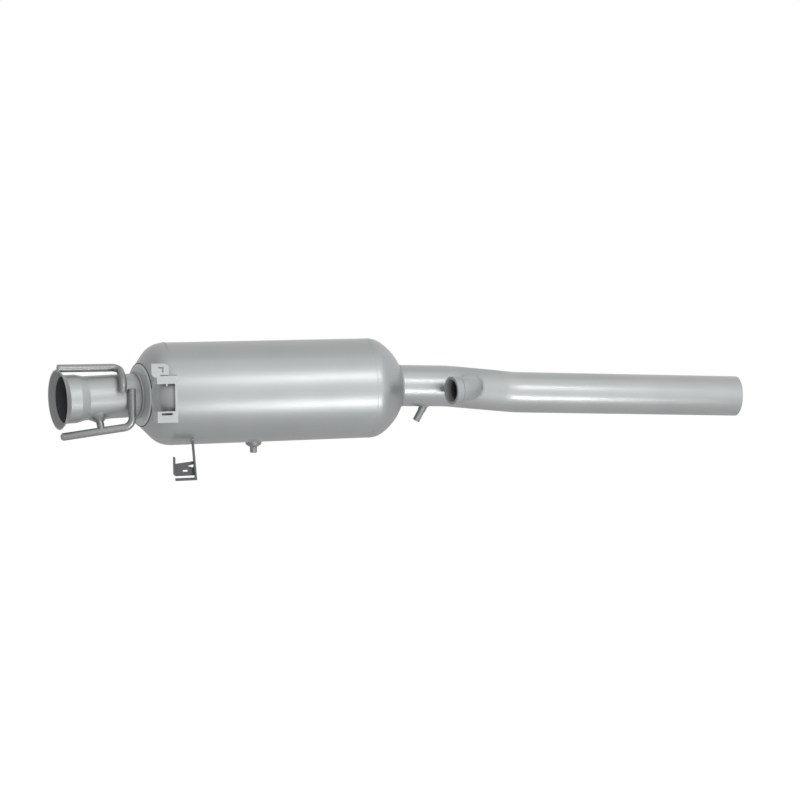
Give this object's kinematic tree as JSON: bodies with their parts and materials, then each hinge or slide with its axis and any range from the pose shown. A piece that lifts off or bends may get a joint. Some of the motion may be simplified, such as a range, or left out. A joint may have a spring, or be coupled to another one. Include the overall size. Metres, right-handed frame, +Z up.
{
  "type": "diesel particulate filter",
  "caption": "Diesel particulate filter: a round steel can with domed ends and ceramic bricks, a flared inlet pipe, a long bent outlet pipe, a side branch, pressure tappings and brackets.",
  "frame": {"origin": "on the inlet pipe's axis, in the middle of the socket in its mouth", "axes": "+X along the can's axis towards the outlet, +Z up as in the picture, so -Y faces the viewer"},
  "size_m": [1.1029, 0.169, 0.204],
  "materials": {
    "can_sheet": "satin, blasted stainless sheet",
    "tube_steel": "satin, with polished streaks",
    "bracket_steel": "light matt zinc-flake finish",
    "rod_steel": "drawn bar, satin",
    "hanger_steel": "dark phosphated strip",
    "brick_ceramic": "matt fired ceramic",
    "fibre_mat": "matt fibre mat",
    "seal_mesh": "knitted wire ring"
  },
  "bodies": {
    "root": {"inlet_pipe": "tube_steel", "inlet_neck": "tube_steel", "inlet_collar": "can_sheet", "inlet_cap": "can_sheet", "upper_rod": "rod_steel", "lower_rod": "rod_steel", "rod_post": "rod_steel", "sensor_bracket": "bracket_steel", "hanger_bar": "hanger_steel", "hanger_plate": "hanger_steel", "can_shell": "can_sheet", "front_tap": "rod_steel", "outlet_cap": "can_sheet", "rear_tap": "rod_steel", "branch_pipe": "tube_steel", "branch_collar": "bracket_steel", "outlet_stud": "rod_steel", "outlet_pipe": "tube_steel", "catalyst": "brick_ceramic", "catalyst_mat": "fibre_mat", "filter": "brick_ceramic", "filter_mat": "fibre_mat", "catalyst_ring_front": "seal_mesh", "catalyst_ring_rear": "seal_mesh", "filter_ring_front": "seal_mesh", "filter_ring_rear": "seal_mesh"}
  },
  "joints": []
}
